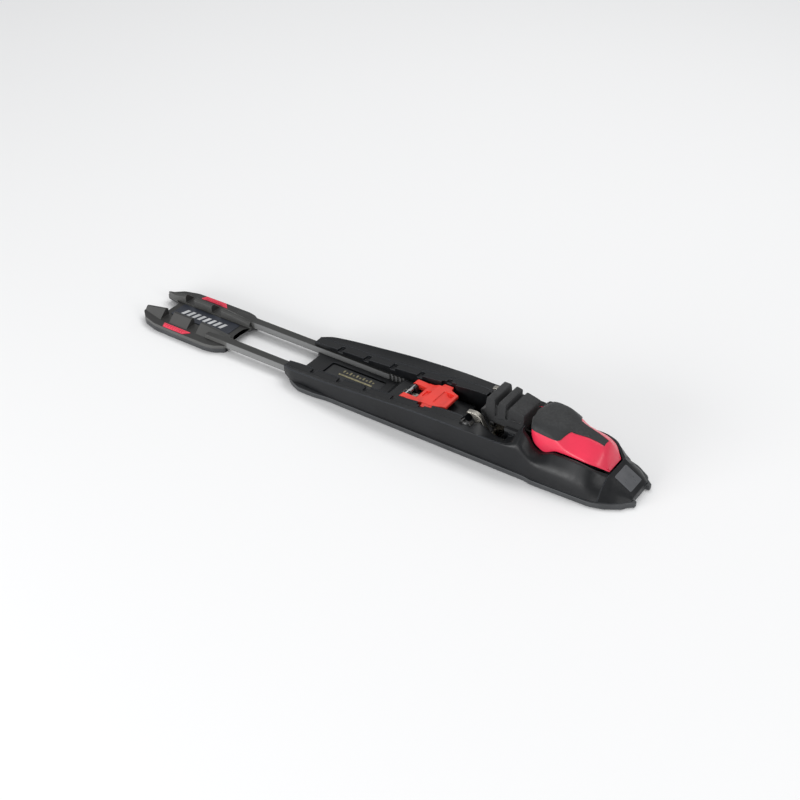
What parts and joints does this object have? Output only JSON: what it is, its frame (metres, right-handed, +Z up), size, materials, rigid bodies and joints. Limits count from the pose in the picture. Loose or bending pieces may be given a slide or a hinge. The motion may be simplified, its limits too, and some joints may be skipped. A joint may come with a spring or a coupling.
{
  "type": "cross-country ski binding",
  "caption": "Slide-on cross-country ski binding with a boot bar jaw, a lever that opens it, a rubber flexor and a sliding heel plate held by a flip-up lock.",
  "frame": {"origin": "on the base face, on the centre line, 3.6 mm behind the boot bar's axis", "axes": "+X towards the toe along the ski, +Y to the skier's left, +Z up out of the ski"},
  "size_m": [0.321, 0.0458, 0.0322],
  "materials": {
    "housing_black": "fine moulded texture",
    "base_grey": "satin moulded",
    "heel_black": "fine moulded texture",
    "lever_red": "semi-gloss",
    "lock_red": "semi-gloss",
    "soft_black": "soft-touch",
    "flexor_rubber": "moulded elastomer",
    "steel": "pressed and polished",
    "pin_steel": "ground",
    "insert_red": "ribbed",
    "label_dark": "smooth film",
    "scale_gold": "printed",
    "carrier_plastic": "moulded",
    "badge_grey": "smooth"
  },
  "bodies": {
    "front": {"base_plate": "base_grey", "front_housing": "housing_black", "bar_seats": "steel", "lever_axle": "pin_steel", "jaw_axle": "pin_steel", "lock_axle": "pin_steel", "flexor": "flexor_rubber", "flexor_carrier": "carrier_plastic", "size_scale": "scale_gold", "lock_spring": "steel", "nose_badge": "badge_grey", "housing_screws": "pin_steel"},
    "lever": {"lever": "lever_red", "lever_cover": "soft_black", "crank_pin": "pin_steel"},
    "links": {"toggle_links": "steel"},
    "jaw": {"boot_jaw": "steel", "jaw_pin": "pin_steel"},
    "lock": {"lock_clip": "lock_red"},
    "heel": {"heel_plate": "heel_black", "heel_slider": "base_grey", "heel_insert_left": "insert_red", "heel_insert_right": "insert_red", "heel_label": "label_dark", "heel_screw": "pin_steel"}
  },
  "joints": [
    {"name": "heel_slide", "type": "slide", "parent": "front", "child": "heel", "axis": [1, 0, 0], "range_m": [-0.03, 0.036]},
    {"name": "lever_lift", "type": "hinge", "parent": "front", "child": "lever", "pos_m": [0.051, 0, 0.021], "axis": [0, -1, 0], "range_deg": [0, 45]},
    {"name": "link_turn", "type": "hinge", "parent": "lever", "child": "links", "pos_m": [0.043, 0, 0.0165], "axis": [0, 1, 0], "range_deg": [0, 53]},
    {"name": "jaw_open", "type": "hinge", "parent": "front", "child": "jaw", "pos_m": [0.014, 0, 0.0066], "axis": [0, 1, 0], "range_deg": [0, 46.6]},
    {"name": "lock_flip", "type": "hinge", "parent": "front", "child": "lock", "pos_m": [-0.042, 0, 0.0106], "axis": [0, -1, 0], "range_deg": [0, 60]}
  ],
  "couplings": [
    {"joint": "link_turn", "follows": "lever_lift", "ratio": 1.1736},
    {"joint": "jaw_open", "follows": "lever_lift", "ratio": 1.0329}
  ]
}
